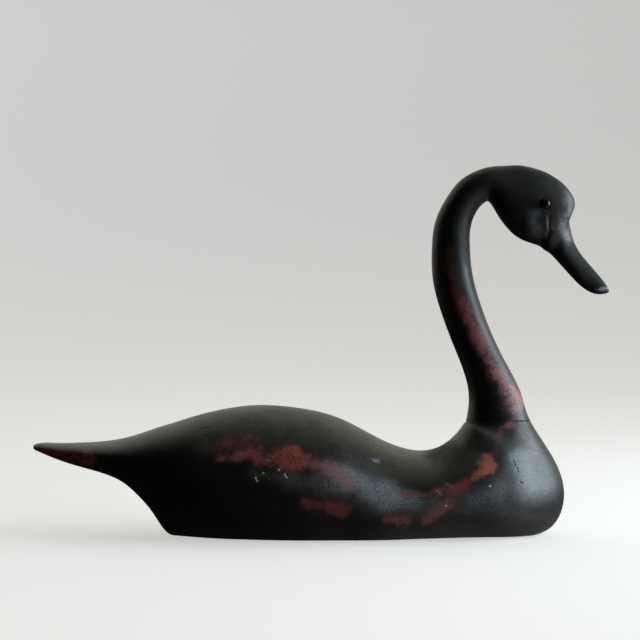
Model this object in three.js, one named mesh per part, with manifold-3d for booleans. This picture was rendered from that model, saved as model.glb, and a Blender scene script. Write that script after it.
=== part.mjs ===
// Swan decoy: a carved body planed flat below, a separate neck and head that meets it at a level
// joint, and two glass eyes. +X runs towards the bill, +Z is up, and the origin is on the ground
// under the middle of the length.
import * as THREE from 'three';
import { mergeVertices } from 'three/addons/utils/BufferGeometryUtils.js';
import Module from 'manifold-3d';

const wasm = await Module();
wasm.setup();

// Driving dimensions, in millimetres
const birdLength = 750; // tail tip to bill tip
const bodyBreadth = 196; // widest, across the back
const neckBreadth = 50;
const headBreadth = 64; // across the cheeks
const billBreadth = 34;
const jointGap = 0.3; // between the body and the neck piece
const cheekStep = 1.2; // the lore and bill lie this far below the cheek and the knob
const creaseWidth = 4.4; // over which that step falls
const eyeDiameter = 13;
const eyeDome = 3.6; // height of the glass above its rim
const eyeDepth = 5; // the button behind the dome
const eyeSink = 0.8; // the rim lies this far below the surface
const eyeClearance = 0.3;

// Fineness of the faceted surface
const ringPoints = 37; // odd, so that one point lies on the back line
const ringPitch = 19; // the most between two rings, in millimetres
const carvedPitch = 4.5; // the same, from the cheeks to the knob
const eyeSides = 20;
const domeSteps = 4;

const paint = { color: 0x1f201f, roughness: 0.5, metalness: 0 };
const glass = { color: 0x060504, roughness: 0.06, metalness: 0 };

// The bird is one carved form, given by stations from the tail tip to the bill tip. A row holds the
// point on the back line (x, z), the point on the under line (x, z), both in thousandths of the
// length, the half breadth as a share of its region's, how much fuller it is below than above, and
// how round: an ellipse at 1, and flatter sides with tighter corners below that. An under line below
// zero is where the round hull would run on if the base weren't planed flat.
const tailRows = [
  [-500, 155, -500, 145, 0.1, -0.1, 1], // tail tip
  [-490, 157, -490, 141, 0.17, -0.1, 1],
  [-466, 157, -466, 131, 0.26, -0.1, 1],
  [-417, 158, -417, 115, 0.38, -0.1, 1],
  [-372, 161, -375, 103, 0.5, -0.1, 1],
];
const bodyRows = [
  [-339, 167, -343, 88, 0.59, -0.12, 1],
  [-309, 176, -316, 64, 0.67, -0.16, 1],
  [-283, 185, -292, 35, 0.73, -0.2, 1],
  [-260, 192, -268, 2, 0.79, -0.24, 1], // stern corner
  [-235, 200, -243, -7, 0.84, -0.2, 1],
  [-187, 213, -191, -14, 0.91, -0.02, 1],
  [-121, 223, -121, -18, 0.97, 0.12, 1],
  [-45, 219, -41, -21, 1, 0.16, 1], // crest of the back
  [32, 200, 40, -19, 0.995, 0.14, 1],
  [91, 170, 101, -16, 0.965, 0.16, 1],
  [140, 149, 157, -12, 0.92, 0.08, 1],
  [181, 144, 216, -9, 0.905, 0, 1], // lowest point of the hollow
  [210, 153, 287, -7, 0.89, -0.03, 1],
  [228, 167, 357, -4, 0.84, -0.05, 1],
  [238, 178, 401, 14, 0.745, -0.1, 1], // foot of the breast
  [244, 186, 421, 61, 0.63, -0.2, 1],
  [248, 192, 409, 119, 0.51, -0.23, 1],
];
const neckRows = [
  [251, 197, 362, 197, 1.42, 0, 0.92], // level joint
  [255, 225, 347, 242, 1.22, 0, 0.92],
  [250, 270, 319, 299, 1.1, 0, 0.92],
  [229, 326, 292, 356, 1.04, 0, 0.92],
  [208, 382, 274, 406, 1.02, 0, 0.92],
  [193, 440, 262, 453, 1, 0, 0.92],
  [191, 496, 258, 497, 1, 0, 0.92],
  [198, 546, 260, 535, 1, 0, 0.92],
  [218, 586, 272, 563, 1.02, 0, 0.92],
  [247, 619, 284, 575, 1.06, 0.02, 0.92], // nape and throat
];
const headRows = [
  [282, 635, 292, 576, 0.84, 0.04, 0.86],
  [315, 639, 305, 556, 0.885, 0.12, 0.82],
  [343, 640, 324, 530, 0.94, 0.2, 0.77], // crown
  [371, 634, 352, 508, 0.99, 0.18, 0.7], // cheeks
  [395, 624, 380, 498, 0.98, 0.16, 0.62],
  [418, 608, 387, 493, 0.94, 0.17, 0.56],
  [434, 589, 392, 490, 0.85, 0.22, 0.56],
  [440, 573, 395, 488, 0.765, 0.28, 0.7], // knob
  [436, 559, 397, 486, 0.725, 0.3, 0.84],
  [431, 550, 400, 483, 0.7, 0.3, 0.92], // notch below the knob
];
const billRows = [
  [432, 533, 404, 479, 1.27, 0.3, 0.96],
  [440, 504, 414, 468, 1.15, 0.27, 0.96],
  [459, 475, 433, 447, 0.95, 0.18, 0.84],
  [481, 449, 458, 424, 0.84, 0.1, 0.72],
  [494, 432, 482, 415, 0.68, 0.05, 0.72],
  [500, 422, 497, 417, 0.24, 0, 0.85], // tip
];

// Two lines in the side view, in thousandths of the length. The edge of the cheek runs down from the
// eye and curves back to the chin. The lower edge of the knob falls from the eye to the notch.
const cheekEdge = { x: 387, bendZ: 523, chinBack: 8, chinDrop: 24, curve: 1.5 };
const knobEdge = { x: 392, z: 561, run: 28, drop: 12 };

// The eye's place: how far on from the cheeks to the next station, and how high up that section
const eyePlace = { along: 0.77, rise: 0.553 };

const unit = birdLength / 1000;
const rowsInMillimetres = (rows, breadth) =>
  rows.map(([backX, backZ, underX, underZ, share, fuller, roundness]) => [
    backX * unit,
    backZ * unit,
    underX * unit,
    underZ * unit,
    share * breadth / 2,
    fuller,
    roundness,
  ]);
const stations = [
  ...rowsInMillimetres([...tailRows, ...bodyRows], bodyBreadth),
  ...rowsInMillimetres(neckRows, neckBreadth),
  ...rowsInMillimetres(headRows, headBreadth),
  ...rowsInMillimetres(billRows, billBreadth),
];
const jointStation = tailRows.length + bodyRows.length;
const headStation = jointStation + neckRows.length;
const billStation = headStation + headRows.length;
const rowsToCheeks = 3;
const rowsFromKnob = 3;
const cheekStation = headStation + rowsToCheeks;
const knobStation = billStation - rowsFromKnob;

// How far the back and under lines travel, on average, from the first station to each one
function travelAlong(rows) {
  const lengths = [0];
  for (let i = 1; i < rows.length; i += 1) {
    const [a, b] = [rows[i - 1], rows[i]];
    const back = Math.hypot(b[0] - a[0], b[1] - a[1]);
    const under = Math.hypot(b[2] - a[2], b[3] - a[3]);
    lengths.push(lengths[i - 1] + (back + under) / 2);
  }
  return lengths;
}

// A natural cubic spline through rows of values at the given knots
function naturalSpline(knots, rows) {
  const last = knots.length - 1;
  const columns = rows[0].length;
  const bend = rows.map(() => new Array(columns).fill(0));
  const carry = new Array(last + 1).fill(0);
  for (let i = 1; i < last; i += 1) {
    const before = knots[i] - knots[i - 1];
    const after = knots[i + 1] - knots[i];
    const pivot = 2 * (before + after) - before * carry[i - 1];
    carry[i] = after / pivot;
    for (let c = 0; c < columns; c += 1) {
      const rise = (rows[i + 1][c] - rows[i][c]) / after - (rows[i][c] - rows[i - 1][c]) / before;
      bend[i][c] = (6 * rise - before * bend[i - 1][c]) / pivot;
    }
  }
  for (let i = last - 1; i > 0; i -= 1) {
    for (let c = 0; c < columns; c += 1) {
      bend[i][c] -= carry[i] * bend[i + 1][c];
    }
  }
  return (at) => {
    let i = 0;
    while (i < last - 1 && at > knots[i + 1]) {
      i += 1;
    }
    const span = knots[i + 1] - knots[i];
    const p = (knots[i + 1] - at) / span;
    const q = (at - knots[i]) / span;
    return rows[i].map((value, c) => {
      const curve = (p ** 3 - p) * bend[i][c] + (q ** 3 - q) * bend[i + 1][c];
      return p * value + q * rows[i + 1][c] + curve * span ** 2 / 6;
    });
  };
}

const travel = travelAlong(stations);
const sectionAt = naturalSpline(travel, stations);

// How far the head's side is cut back ahead of the cheek and under the knob
function recessAt(x, z) {
  const drop = (cheekEdge.bendZ * unit - z) / (cheekEdge.chinDrop * unit);
  const chin = THREE.MathUtils.clamp(drop, 0, 1) ** cheekEdge.curve;
  const edgeX = (cheekEdge.x - cheekEdge.chinBack * chin) * unit;
  const ahead = THREE.MathUtils.smoothstep(x, edgeX, edgeX + creaseWidth);
  const fall = THREE.MathUtils.smoothstep(x, knobEdge.x * unit, (knobEdge.x + knobEdge.run) * unit);
  const edgeZ = (knobEdge.z - knobEdge.drop * fall) * unit;
  const below = 1 - THREE.MathUtils.smoothstep(z, edgeZ - creaseWidth, edgeZ);
  return cheekStep * ahead * below;
}

// A point of the section that lies `at` along the bird, `turn` round from its widest line
function surfacePoint(at, turn) {
  const [backX, backZ, underX, underZ, half, fuller, roundness] = sectionAt(at);
  const rise = (1 + Math.sin(turn)) / 2;
  const x = THREE.MathUtils.lerp(underX, backX, rise);
  const z = Math.max(0, THREE.MathUtils.lerp(underZ, backZ, rise));
  const out = Math.sign(Math.cos(turn)) * Math.abs(Math.cos(turn)) ** roundness;
  const side = out * (1 - fuller * Math.sin(turn)) / Math.hypot(1, fuller);
  const recess = at > travel[headStation] ? recessAt(x, z) : 0;
  const y = side * (half - recess);
  return new THREE.Vector3(x, y, z);
}

// One closed ring round the bird, open only along its keel, where a flat strip closes it. Where the
// section reaches below the ground, the ring starts and ends on the edges of the flat base.
function ringAt(at) {
  const [, backZ, , underZ] = sectionAt(at);
  const planed = underZ < 0 ? Math.asin(-2 * underZ / (backZ - underZ) - 1) : -Math.PI / 2;
  const start = Math.max(planed, -Math.PI / 2 + Math.PI / ringPoints);
  const ring = [];
  for (let j = 0; j < ringPoints; j += 1) {
    const turn = start + (Math.PI - 2 * start) * j / (ringPoints - 1);
    ring.push(surfacePoint(at, turn));
  }
  return ring;
}

// The places of the rings between two stations: every station has one
function ringPlaces(from, to) {
  const places = [travel[from]];
  for (let i = from; i < to; i += 1) {
    const span = travel[i + 1] - travel[i];
    const pitch = i >= cheekStation && i < knobStation ? carvedPitch : ringPitch;
    const count = Math.max(2, Math.ceil(span / pitch));
    for (let k = 1; k <= count; k += 1) {
      places.push(travel[i] + span * k / count);
    }
  }
  return places;
}

// Skins a row of rings and closes both ends with a fan from the middle of the end ring
function loft(rings) {
  const points = rings.flat();
  const index = [];
  const last = rings.length - 1;
  for (let i = 0; i < last; i += 1) {
    for (let j = 0; j < ringPoints; j += 1) {
      const a = i * ringPoints + j;
      const b = i * ringPoints + (j + 1) % ringPoints;
      index.push(a, b, a + ringPoints, b, b + ringPoints, a + ringPoints);
    }
  }
  for (const end of [0, last]) {
    const middle = rings[end].reduce((sum, point) => sum.add(point), new THREE.Vector3());
    points.push(middle.divideScalar(ringPoints));
    for (let j = 0; j < ringPoints; j += 1) {
      const a = end * ringPoints + j;
      const b = end * ringPoints + (j + 1) % ringPoints;
      index.push(...(end === 0 ? [b, a] : [a, b]), points.length - 1);
    }
  }
  const geometry = new THREE.BufferGeometry().setFromPoints(points);
  geometry.setIndex(index);
  geometry.computeVertexNormals();
  return geometry;
}

// The end ring at the joint moves half the gap away from it
function openJoint(ring, shift) {
  ring.forEach((point) => {
    point.z += shift;
  });
}

// A glass button turned about its own Y axis: a flat back, a straight wall and a domed front
function eyeGeometry() {
  const radius = eyeDiameter / 2;
  const profile = [new THREE.Vector2(0, -eyeDepth), new THREE.Vector2(radius, -eyeDepth)];
  for (let i = 0; i < domeSteps; i += 1) {
    const turn = Math.PI / 2 * i / domeSteps;
    profile.push(new THREE.Vector2(radius * Math.cos(turn), eyeDome * Math.sin(turn)));
  }
  profile.push(new THREE.Vector2(0, eyeDome));
  return new THREE.LatheGeometry(profile, eyeSides);
}

// What is cut out for an eye: the button with its clearance, open to the front
function socketGeometry() {
  const radius = eyeDiameter / 2 + eyeClearance;
  const depth = eyeDepth + eyeClearance;
  const profile = [
    new THREE.Vector2(0, -depth),
    new THREE.Vector2(radius, -depth),
    new THREE.Vector2(radius, eyeDiameter),
    new THREE.Vector2(0, eyeDiameter),
  ];
  return new THREE.LatheGeometry(profile, eyeSides);
}

// Where an eye sits: on the carved surface, its axis square to it. Side 1 is the bird's left.
function eyeFrame(side) {
  const step = 0.001;
  const at = THREE.MathUtils.lerp(travel[cheekStation], travel[cheekStation + 1], eyePlace.along);
  const turn = Math.asin(2 * eyePlace.rise - 1);
  const centre = surfacePoint(at, turn);
  const forward = surfacePoint(at + step, turn).sub(centre);
  const upward = surfacePoint(at, turn + step).sub(centre);
  const normal = upward.cross(forward).normalize();
  centre.addScaledVector(normal, -eyeSink);
  const mirror = new THREE.Vector3(1, side, 1);
  normal.multiply(mirror);
  return {
    position: centre.multiply(mirror),
    quaternion: new THREE.Quaternion().setFromUnitVectors(new THREE.Vector3(0, 1, 0), normal),
  };
}

function solidFrom(geometry) {
  const bare = new THREE.BufferGeometry();
  bare.setAttribute('position', geometry.getAttribute('position'));
  bare.setIndex(geometry.getIndex());
  const merged = mergeVertices(bare);
  const corners = merged.getIndex().array;
  const triangles = [];
  for (let i = 0; i < corners.length; i += 3) {
    const [a, b, c] = corners.subarray(i, i + 3);
    if (a !== b && b !== c && c !== a) {
      triangles.push(a, b, c);
    }
  }
  const vertProperties = new Float32Array(merged.getAttribute('position').array);
  const triVerts = new Uint32Array(triangles);
  return new wasm.Manifold(new wasm.Mesh({ numProp: 3, vertProperties, triVerts }));
}

function geometryFrom(solid) {
  const mesh = solid.getMesh();
  const geometry = new THREE.BufferGeometry();
  geometry.setAttribute('position', new THREE.BufferAttribute(mesh.vertProperties, 3));
  geometry.setIndex(new THREE.BufferAttribute(mesh.triVerts, 1));
  geometry.computeVertexNormals();
  return geometry;
}

function bodyMesh() {
  const rings = ringPlaces(0, jointStation).map(ringAt);
  openJoint(rings[rings.length - 1], -jointGap / 2);
  const mesh = new THREE.Mesh(loft(rings), new THREE.MeshStandardMaterial(paint));
  mesh.name = 'body';
  return mesh;
}

function neckAndHeadMesh(eyes) {
  const rings = ringPlaces(jointStation, stations.length - 1).map(ringAt);
  openJoint(rings[0], jointGap / 2);
  let solid = solidFrom(loft(rings));
  for (const eye of eyes) {
    const socket = socketGeometry().applyMatrix4(eye.matrix);
    solid = solid.subtract(solidFrom(socket));
  }
  const mesh = new THREE.Mesh(geometryFrom(solid), new THREE.MeshStandardMaterial(paint));
  mesh.name = 'neck_and_head';
  return mesh;
}

function eyeMesh(name, side) {
  const mesh = new THREE.Mesh(eyeGeometry(), new THREE.MeshStandardMaterial(glass));
  const frame = eyeFrame(side);
  mesh.name = name;
  mesh.position.copy(frame.position);
  mesh.quaternion.copy(frame.quaternion);
  mesh.updateMatrix();
  return mesh;
}

const eyes = [eyeMesh('eye_left', 1), eyeMesh('eye_right', -1)];
const swan = new THREE.Group();
swan.name = 'swan_decoy';
swan.add(bodyMesh(), neckAndHeadMesh(eyes), ...eyes);

export default swan;
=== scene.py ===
# Swan decoy: a bird carved from wood, painted black over red and rubbed by handling, with glass eyes
from math import asin, ceil, cos, pi, sin, sqrt

import bmesh
import bpy
import numpy as np
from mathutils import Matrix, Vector, noise
from mathutils.bvhtree import BVHTree
from mathutils.geometry import intersect_point_line
from mathutils.kdtree import KDTree


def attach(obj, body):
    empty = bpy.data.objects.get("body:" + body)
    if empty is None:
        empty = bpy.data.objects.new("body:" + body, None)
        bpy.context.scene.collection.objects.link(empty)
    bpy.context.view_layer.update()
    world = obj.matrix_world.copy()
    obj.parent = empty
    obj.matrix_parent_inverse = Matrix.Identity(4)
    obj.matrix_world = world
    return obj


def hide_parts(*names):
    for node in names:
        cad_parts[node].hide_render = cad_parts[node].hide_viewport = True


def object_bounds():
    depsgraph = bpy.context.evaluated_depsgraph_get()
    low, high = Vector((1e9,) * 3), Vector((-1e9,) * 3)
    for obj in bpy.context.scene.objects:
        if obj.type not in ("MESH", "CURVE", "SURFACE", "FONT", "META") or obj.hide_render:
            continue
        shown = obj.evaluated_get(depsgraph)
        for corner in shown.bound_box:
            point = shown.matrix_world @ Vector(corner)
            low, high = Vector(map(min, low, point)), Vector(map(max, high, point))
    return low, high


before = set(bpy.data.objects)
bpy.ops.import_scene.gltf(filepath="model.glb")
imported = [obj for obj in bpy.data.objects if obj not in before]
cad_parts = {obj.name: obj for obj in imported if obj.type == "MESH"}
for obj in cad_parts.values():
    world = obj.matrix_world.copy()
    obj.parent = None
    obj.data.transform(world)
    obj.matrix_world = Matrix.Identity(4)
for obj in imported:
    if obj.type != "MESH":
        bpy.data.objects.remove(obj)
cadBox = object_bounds()

# The photo's camera is level and looks along +Y at the bird's right side
photo = {
    "camera": Vector((-0.0023, -1.8, 0.278)),
    "focal": 1380,  # in pixels
    "width": 640,  # in pixels, and so is its height
    "sensor": 36,  # in mm
}


def makeCamera():
    data = bpy.data.cameras.new("photoCamera")
    data.sensor_width = photo["sensor"]
    data.lens = photo["focal"] / photo["width"] * photo["sensor"]
    camera = bpy.data.objects.new("photoCamera", data)
    camera.location = photo["camera"]
    camera.rotation_euler = (pi / 2, 0, 0)
    bpy.context.scene.collection.objects.link(camera)
    bpy.context.scene.camera = camera
    print("camera made")


def seenFrom(points):
    # where the photo shows each point, in pixels; a point of the left side is read in the mirror
    deep = -np.abs(points[:, 1]) - photo["camera"].y
    across = photo["width"] / 2 + photo["focal"] * (points[:, 0] - photo["camera"].x) / deep
    down = photo["width"] / 2 - photo["focal"] * (points[:, 2] - photo["camera"].z) / deep
    return np.stack([across, down], axis=1)


def rayThrough(pixel, side):
    # the photo's line of sight through a pixel, or its mirror image on the left side
    across, down = pixel
    half = photo["width"] / 2
    lens = photo["camera"].copy()
    way = Vector((across - half, photo["focal"], half - down)).normalized()
    if side == "left":
        lens.y *= -1
        way.y *= -1
    return lens, way


def smoothStep(low, high, value):
    share = np.clip((value - low) / (high - low), 0, 1)
    return share * share * (3 - 2 * share)


# The bird is one carved form, given by stations from the tail tip to the bill tip. A row holds the
# back line (x, z) and the under line (x, z) in thousandths of the length, the half breadth as a share
# of its region's, how much fuller it is below than above, and how round: an ellipse at 1, and flatter
# sides with tighter corners below that.
bird = {
    "length": cadBox[1].x - cadBox[0].x,
    "breadths": {"body": 0.196, "neck": 0.050, "head": 0.064, "bill": 0.034},
    "jointGap": 0.0003,
    "cheekRow": 3,  # of the head's rows, counted from 0
    "body": [
        (-500, 155, -500, 145, 0.1, -0.1, 1),  # tail tip
        (-490, 157, -490, 141, 0.17, -0.1, 1),
        (-466, 157, -466, 131, 0.26, -0.1, 1),
        (-417, 158, -417, 115, 0.38, -0.1, 1),
        (-372, 161, -375, 103, 0.5, -0.1, 1),
        (-339, 167, -343, 88, 0.59, -0.12, 1),
        (-309, 176, -316, 64, 0.67, -0.16, 1),
        (-283, 185, -292, 35, 0.73, -0.2, 1),
        (-260, 192, -268, 2, 0.79, -0.24, 1),  # stern corner
        (-235, 200, -243, -7, 0.84, -0.2, 1),
        (-187, 213, -191, -14, 0.91, -0.02, 1),
        (-121, 223, -121, -18, 0.97, 0.12, 1),
        (-45, 219, -41, -21, 1, 0.16, 1),  # crest of the back
        (32, 200, 40, -19, 0.995, 0.14, 1),
        (91, 170, 101, -16, 0.965, 0.16, 1),
        (140, 149, 157, -12, 0.92, 0.08, 1),
        (181, 144, 216, -9, 0.905, 0, 1),  # lowest point of the hollow
        (210, 153, 287, -7, 0.89, -0.03, 1),
        (228, 167, 357, -4, 0.84, -0.05, 1),
        (238, 178, 401, 14, 0.745, -0.1, 1),  # foot of the breast
        (244, 186, 421, 61, 0.63, -0.2, 1),
        (248, 192, 409, 119, 0.51, -0.23, 1),
    ],
    "neck": [
        (251, 197, 362, 197, 1.42, 0, 0.92),  # level joint
        (255, 225, 347, 242, 1.22, 0, 0.92),
        (250, 270, 319, 299, 1.1, 0, 0.92),
        (229, 326, 292, 356, 1.04, 0, 0.92),
        (208, 382, 274, 406, 1.02, 0, 0.92),
        (193, 440, 262, 453, 1, 0, 0.92),
        (191, 496, 258, 497, 1, 0, 0.92),
        (198, 546, 260, 535, 1, 0, 0.92),
        (218, 586, 272, 563, 1.02, 0, 0.92),
        (247, 619, 284, 575, 1.06, 0.02, 0.92),  # nape and throat
    ],
    "head": [
        (282, 635, 292, 576, 0.84, 0.04, 0.86),
        (315, 639, 305, 556, 0.885, 0.12, 0.82),
        (343, 640, 324, 530, 0.94, 0.2, 0.77),  # crown
        (371, 634, 352, 508, 0.99, 0.18, 0.7),  # cheeks
        (395, 624, 380, 498, 0.98, 0.16, 0.62),
        (418, 608, 387, 493, 0.94, 0.17, 0.56),
        (434, 589, 392, 490, 0.85, 0.22, 0.56),
        (440, 573, 395, 488, 0.765, 0.28, 0.7),  # knob
        (436, 559, 397, 486, 0.725, 0.3, 0.84),
        (431, 550, 400, 483, 0.7, 0.3, 0.92),  # notch below the knob
    ],
    "bill": [
        (432, 533, 404, 479, 1.27, 0.3, 0.96),
        (440, 504, 414, 468, 1.15, 0.27, 0.96),
        (459, 475, 433, 447, 0.95, 0.18, 0.84),
        (481, 449, 458, 424, 0.84, 0.1, 0.72),
        (494, 432, 482, 415, 0.68, 0.05, 0.72),
        (500, 422, 497, 417, 0.24, 0, 0.85),  # tip
    ],
}
unit = bird["length"] / 1000
regions = ("body", "neck", "head", "bill")
stations = np.array(
    [
        (*np.multiply(row[0:4], unit), row[4] * bird["breadths"][region] / 2, *row[5:])
        for region in regions
        for row in bird[region]
    ]
)
jointStation = len(bird["body"])
headStation = jointStation + len(bird["neck"])
cheekStation = headStation + bird["cheekRow"]


def travelAlong(rows):
    # the mean of how far the back line and the under line have run at each station
    back = np.hypot(*np.diff(rows[:, 0:2], axis=0).T)
    under = np.hypot(*np.diff(rows[:, 2:4], axis=0).T)
    return np.concatenate([[0], np.cumsum((back + under) / 2)])


def bendOf(knots, rows):
    # the second derivatives of the natural cubic spline through the rows
    gaps = np.diff(knots)
    system = np.eye(len(knots))
    turns = np.zeros_like(rows)
    for i in range(1, len(knots) - 1):
        system[i, i - 1:i + 2] = gaps[i - 1], 2 * (gaps[i - 1] + gaps[i]), gaps[i]
        turns[i] = 6 * ((rows[i + 1] - rows[i]) / gaps[i] - (rows[i] - rows[i - 1]) / gaps[i - 1])
    return np.linalg.solve(system, turns)


travel = travelAlong(stations)
bend = bendOf(travel, stations)


def sectionAt(place):
    i = int(np.clip(np.searchsorted(travel, place) - 1, 0, len(travel) - 2))
    span = travel[i + 1] - travel[i]
    p = (travel[i + 1] - place) / span
    q = 1 - p
    curve = (p ** 3 - p) * bend[i] + (q ** 3 - q) * bend[i + 1]
    return p * stations[i] + q * stations[i + 1] + curve * span ** 2 / 6


# Two lines in the side view, in thousandths of the length. The edge of the cheek runs down from the
# eye and curves back to the chin. The lower edge of the knob falls from the eye to the notch.
face = {
    "step": 0.0012,  # how far the lore and the bill lie below the cheek and the knob
    "crease": 0.0044,  # over which that step falls
    "softer": 5,  # how much wider the crease under the knob is at the eye than at the notch
    "groove": {"deep": 0.0010, "half": 0.0020, "ahead": 0.0012, "top": (544, 556), "low": (500, 514)},
    "pad": {  # the raised cheek, with its middle and half size in the photo's pixels
        "at": (537, 226.5),
        "half": (11, 14),
        "falls": (0.65, 1.15),  # here the wood falls away round it, in half sizes
        "rises": (1.3, 2.2),  # and here it rises again
        "deep": 0.0006,
        "above": 0.35,  # no lower than this
    },
    "cheekEdge": {"x": 387, "bendZ": 523, "chinBack": 8, "chinDrop": 24, "curve": 1.5},
    "knobEdge": {"x": 392, "z": 561, "run": 28, "drop": 12},
}


def faceRecess(x, z):
    # how far the side of the head is cut back ahead of the cheek and under the knob
    cheek, knob = face["cheekEdge"], face["knobEdge"]
    chin = np.clip((cheek["bendZ"] * unit - z) / (cheek["chinDrop"] * unit), 0, 1) ** cheek["curve"]
    edgeX = (cheek["x"] - cheek["chinBack"] * chin) * unit
    ahead = smoothStep(edgeX, edgeX + face["crease"], x)
    fall = smoothStep(knob["x"] * unit, (knob["x"] + knob["run"]) * unit, x)
    edgeZ = (knob["z"] - knob["drop"] * fall) * unit
    crease = face["crease"] * (1 + face["softer"] * (1 - fall))
    step = face["step"] * ahead * (1 - smoothStep(edgeZ - crease, edgeZ, z))
    groove = face["groove"]
    across = np.exp(-((x - edgeX - groove["ahead"]) / groove["half"]) ** 2)
    top, low = (smoothStep(a * unit, b * unit, z) for a, b in (groove["top"], groove["low"]))
    return step + groove["deep"] * across * (1 - top) * low


def ringPoints(place, turns):
    # the bird's surface at one place along it, at angles round from its widest line
    backX, backZ, underX, underZ, half, fuller, roundness = sectionAt(place)
    rise = (1 + np.sin(turns)) / 2
    x = underX + (backX - underX) * rise
    z = np.maximum(0, underZ + (backZ - underZ) * rise)
    if place > travel[headStation]:
        half = half - faceRecess(x, z)
    out = np.sign(np.cos(turns)) * np.abs(np.cos(turns)) ** roundness
    y = half * out * (1 - fuller * np.sin(turns)) / sqrt(1 + fuller * fuller)
    return np.stack([x, y, z], axis=1)


loft = {
    "points": 200,  # round each ring
    "bodyPitch": 0.0026,
    "edgePitch": 0.0010,  # where the flat base begins and ends
    "neckPitch": 0.0028,
    "headPitch": 0.0013,
    "cutReach": 1e-7,  # a vertex this near a cut lies on it
}


def pitchAfter(station):
    if station < jointStation:
        below = stations[station:station + 2, 3] < 0
        return loft["edgePitch"] if below[0] != below[1] else loft["bodyPitch"]
    return loft["neckPitch"] if station < headStation else loft["headPitch"]


def ringPlaces(first, last):
    places = []
    for i in range(first, last):
        steps = max(2, ceil((travel[i + 1] - travel[i]) / pitchAfter(i)))
        places += list(np.linspace(travel[i], travel[i + 1], steps, endpoint=False))
    return places + [travel[last]]


def shapeRing(verts, place):
    # a ring is open at the keel: its two end points lie on the edges of the flat base
    section = sectionAt(place)
    backZ, underZ = section[1], section[3]
    low = asin(-2 * underZ / (backZ - underZ) - 1) if underZ < 0 else -pi / 2
    start = max(low, -pi / 2 + pi / len(verts))
    points = ringPoints(place, np.linspace(start, pi - start, len(verts)))
    for vert, point in zip(verts, points):
        vert.co = point


def loftBetween(first, last):
    # circles are bent to the bird's sections, and each is bridged to the next
    bm = bmesh.new()
    rings = []
    for place in ringPlaces(first, last):
        verts = bmesh.ops.create_circle(bm, segments=loft["points"], radius=1)["verts"]
        shapeRing(verts, place)
        rings.append(verts)
    bm.edges.ensure_lookup_table()
    count = loft["points"]
    hoops = [bm.edges[i * count:(i + 1) * count] for i in range(len(rings))]
    for one, two in zip(hoops, hoops[1:]):
        bmesh.ops.bridge_loops(bm, edges=one + two)
    return bm, rings


def cutLevel(bm, rings, height, upward):
    # cuts the loft off level near its open end, and gives the new edge's vertices
    near = {v for ring in rings for v in ring}
    faces = {f for v in near for f in v.link_faces}
    geom = list({v for f in faces for v in f.verts} | {e for f in faces for e in f.edges} | faces)
    cut = bmesh.ops.bisect_plane(
        bm,
        geom=geom,
        dist=loft["cutReach"],
        plane_co=(0, 0, height),
        plane_no=(0, 0, 1 if upward else -1),
        clear_outer=True,
    )["geom_cut"]
    return [v for v in cut if isinstance(v, bmesh.types.BMVert)]


def closeEnd(bm, ring, outward, bevels):
    # caps an end ring with a few steps; each bevel is (in, out)
    ring = set(ring)
    edges = [e for e in bm.edges if e.is_boundary and e.verts[0] in ring]
    cap = bmesh.ops.contextual_create(bm, geom=edges)["faces"][0]
    cap.normal_update()
    if cap.normal.dot(outward) < 0:
        cap.normal_flip()
    for inward, out in bevels:
        bmesh.ops.inset_region(bm, faces=[cap], thickness=inward, depth=out, use_even_offset=True)
    return cap


def flattenBase(bm):
    # the strips that lie on the ground become one face, of the planed wood
    strips = [f for f in bm.faces if all(v.co.z == 0 for v in f.verts)]
    planed = bmesh.ops.dissolve_faces(bm, faces=strips)["region"]
    for one in planed:
        one.material_index = 1
    return planed


# The carver's hand: slow swells and small tool marks, all pressed into the true form
hand = {
    "swell": {"scale": 15, "deep": 0.0004},
    "ripple": {"scale": 55, "deep": 0.00014},
    "least": 0.0001,  # everywhere, so that nothing stands out of the solid
    "firm": (0.0, 0.014),  # the planed base keeps a straight edge up to this height
}


def waveDepth(point, wave):
    return wave["deep"] * (1 + noise.noise(point * wave["scale"])) / 2


def handDepth(point):
    waves = waveDepth(point, hand["swell"]) + waveDepth(point, hand["ripple"])
    return hand["least"] + smoothStep(*hand["firm"], point.z) * waves


def padDepth(point):
    # the cheek stands out a little, because the wood round it is cut back
    pad = face["pad"]
    if point.z <= pad["above"]:
        return 0
    away = np.hypot(*((seenFrom(np.array([point]))[0] - pad["at"]) / pad["half"]))
    return pad["deep"] * smoothStep(*pad["falls"], away) * (1 - smoothStep(*pad["rises"], away))


def headDepth(point):
    return handDepth(point) + padDepth(point)


# Along this line, in thousandths of the length, the head runs into the bill. The surface is evened
# out as far as reach on both sides of it.
billRoot = {"low": (395, 489), "top": (428, 541), "reach": 0.010, "rounds": 120, "factor": 0.5}


def evenRoot(bm):
    low, top = (Vector((x, 0, z)) * unit for x, z in (billRoot["low"], billRoot["top"]))
    near = []
    for vert in bm.verts:
        seen = Vector((vert.co.x, 0, vert.co.z))
        foot, along = intersect_point_line(seen, low, top)
        if 0 < along < 1 and (seen - foot).length < billRoot["reach"]:
            near.append(vert)
    axes = {"use_axis_x": True, "use_axis_y": True, "use_axis_z": True}
    for _ in range(billRoot["rounds"]):
        bmesh.ops.smooth_vert(bm, verts=near, factor=billRoot["factor"], **axes)


def pressSurface(bm, depthOf):
    bm.normal_update()
    moved = [v.co - v.normal * depthOf(v.co) for v in bm.verts]
    for vert, place in zip(bm.verts, moved):
        grounded = vert.co.z == 0
        vert.co = place
        vert.co.z = 0 if grounded else max(place.z, 0)


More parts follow.
